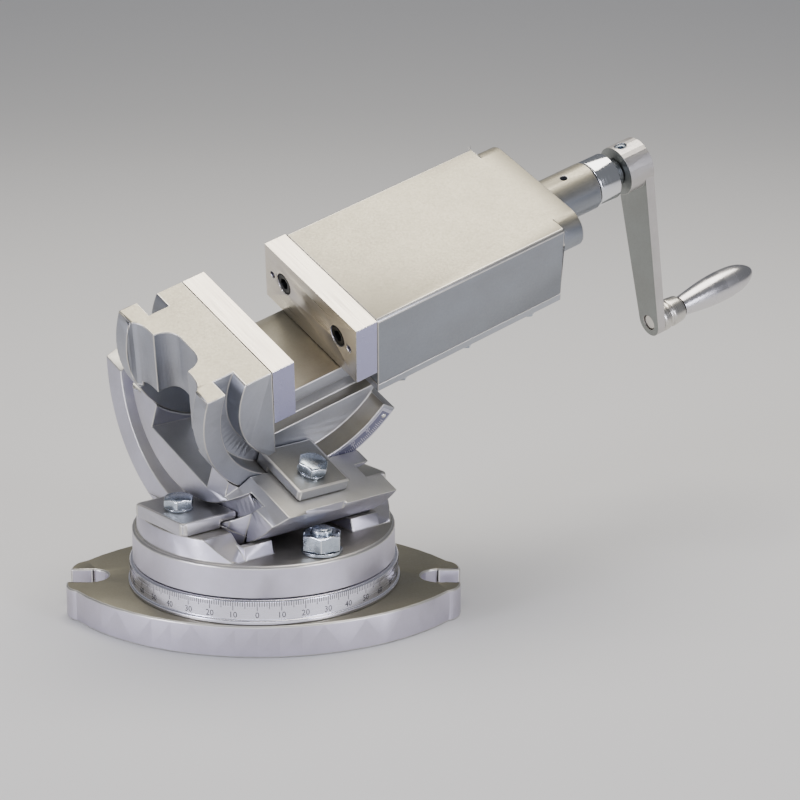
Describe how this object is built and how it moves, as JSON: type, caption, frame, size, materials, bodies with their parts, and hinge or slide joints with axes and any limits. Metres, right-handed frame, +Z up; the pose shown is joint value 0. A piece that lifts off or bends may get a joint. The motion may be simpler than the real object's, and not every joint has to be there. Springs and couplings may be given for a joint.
{
  "type": "tilting machine vise",
  "caption": "Precision screw vise on stacked arc-rail side-tilt and end-tilt saddles, over a graduated swivel base, with a hand crank.",
  "frame": {"origin": "centre of the base's flat underside, on the swivel axis", "axes": "+Z up along the swivel axis; X along the base's length, through its two clamping slots, with the crank on the +X side"},
  "size_m": [0.3451, 0.241, 0.2078],
  "materials": {
    "cast_body": "machined and satin-plated casting",
    "ground_steel": "hardened and surface-ground",
    "bright_ring": "turned and bright-plated",
    "polished_grip": "turned and polished",
    "turned_steel": "turned, oiled",
    "plated_bolts": "zinc-plated",
    "black_screws": "black-oxide finish",
    "bronze": "machined bearing bronze"
  },
  "bodies": {
    "base": {"base_plate": "cast_body", "dial_ring": "bright_ring", "pivot_pin": "turned_steel"},
    "turntable": {"turntable": "cast_body", "swivel_bolt_front": "plated_bolts", "swivel_bolt_rear": "plated_bolts", "swivel_washer_front": "plated_bolts", "swivel_washer_rear": "plated_bolts", "saddle_clamp_left": "cast_body", "saddle_clamp_right": "cast_body", "saddle_clamp_washer_left": "plated_bolts", "saddle_clamp_washer_right": "plated_bolts"},
    "swivel_nut_front": {"swivel_nut_front": "plated_bolts"},
    "swivel_nut_rear": {"swivel_nut_rear": "plated_bolts"},
    "saddle_clamp_bolt_left": {"saddle_clamp_bolt_left": "plated_bolts"},
    "saddle_clamp_bolt_right": {"saddle_clamp_bolt_right": "plated_bolts"},
    "saddle": {"saddle": "cast_body", "vise_clamp_front": "cast_body", "vise_clamp_rear": "cast_body", "vise_clamp_washer_front": "plated_bolts", "vise_clamp_washer_rear": "plated_bolts"},
    "vise_clamp_bolt_front": {"vise_clamp_bolt_front": "plated_bolts"},
    "vise_clamp_bolt_rear": {"vise_clamp_bolt_rear": "plated_bolts"},
    "vise": {"vise_body": "cast_body", "fixed_jaw_plate": "ground_steel", "lead_nut": "bronze", "lead_nut_screw": "plated_bolts", "fixed_plate_screw_front": "black_screws", "fixed_plate_screw_rear": "black_screws", "fixed_plate_dowel_front": "turned_steel", "fixed_plate_dowel_rear": "turned_steel"},
    "jaw": {"movable_jaw": "cast_body", "movable_jaw_plate": "ground_steel", "movable_plate_screw_front": "black_screws", "movable_plate_screw_rear": "black_screws", "movable_plate_dowel_front": "turned_steel", "movable_plate_dowel_rear": "turned_steel", "keeper_front": "ground_steel", "keeper_rear": "ground_steel", "keeper_bolt_front_1": "plated_bolts", "keeper_bolt_front_2": "plated_bolts", "keeper_bolt_front_3": "plated_bolts", "keeper_bolt_rear_1": "plated_bolts", "keeper_bolt_rear_2": "plated_bolts", "keeper_bolt_rear_3": "plated_bolts"},
    "crank": {"lead_screw": "turned_steel", "thrust_ring": "turned_steel", "screw_collar": "bright_ring", "crank_arm": "cast_body", "crank_set_screw": "black_screws", "handle_spindle": "turned_steel"},
    "grip": {"crank_grip": "polished_grip"}
  },
  "joints": [
    {"name": "swivel", "type": "hinge", "parent": "base", "child": "turntable", "pos_m": [0, 0, 0.0278], "axis": [0, 0, 1], "continuous": true},
    {"name": "side_tilt", "type": "hinge", "parent": "turntable", "child": "saddle", "pos_m": [0, 0, 0.1164], "axis": [0.7738, 0.6334, 0], "range_deg": [-67.3, 22.7]},
    {"name": "end_tilt", "type": "hinge", "parent": "saddle", "child": "vise", "pos_m": [0.00524, -0.0064, 0.13657], "axis": [0.586, -0.716, -0.3795], "range_deg": [-17.1, 72.9]},
    {"name": "screw_turn", "type": "hinge", "parent": "jaw", "child": "crank", "pos_m": [0.15919, 0.09268, 0.18738], "axis": [0.8103, 0.519, 0.272], "range_deg": [-3020, 3415]},
    {"name": "jaw_slide", "type": "slide", "parent": "vise", "child": "jaw", "axis": [0.8103, 0.519, 0.272], "range_m": [-0.0336, 0.038]},
    {"name": "grip_spin", "type": "hinge", "parent": "crank", "child": "grip", "pos_m": [0.20552, 0.13815, 0.10968], "axis": [0.8103, 0.519, 0.272], "continuous": true},
    {"name": "swivel_nut_front_turn", "type": "hinge", "parent": "turntable", "child": "swivel_nut_front", "pos_m": [0.02897, -0.04246, 0.048], "axis": [0, 0, 1], "range_deg": [0, 180]},
    {"name": "swivel_nut_rear_turn", "type": "hinge", "parent": "turntable", "child": "swivel_nut_rear", "pos_m": [-0.02897, 0.04246, 0.048], "axis": [0, 0, 1], "range_deg": [0, 180]},
    {"name": "saddle_clamp_bolt_left_turn", "type": "hinge", "parent": "turntable", "child": "saddle_clamp_bolt_left", "pos_m": [-0.03753, -0.03072, 0.062], "axis": [0, 0, 1], "range_deg": [0, 180]},
    {"name": "saddle_clamp_bolt_right_turn", "type": "hinge", "parent": "turntable", "child": "saddle_clamp_bolt_right", "pos_m": [0.03753, 0.03072, 0.062], "axis": [0, 0, 1], "range_deg": [0, 180]},
    {"name": "vise_clamp_bolt_front_turn", "type": "hinge", "parent": "saddle", "child": "vise_clamp_bolt_front", "pos_m": [0.02444, -0.02986, 0.08004], "axis": [0.2403, -0.2936, 0.9252], "range_deg": [0, 180]},
    {"name": "vise_clamp_bolt_rear_turn", "type": "hinge", "parent": "saddle", "child": "vise_clamp_bolt_rear", "pos_m": [-0.03357, 0.04102, 0.1176], "axis": [0.2403, -0.2936, 0.9252], "range_deg": [0, 180]}
  ],
  "couplings": [
    {"joint": "jaw_slide", "follows": "screw_turn", "m_per_rad": 0.00063662}
  ]
}
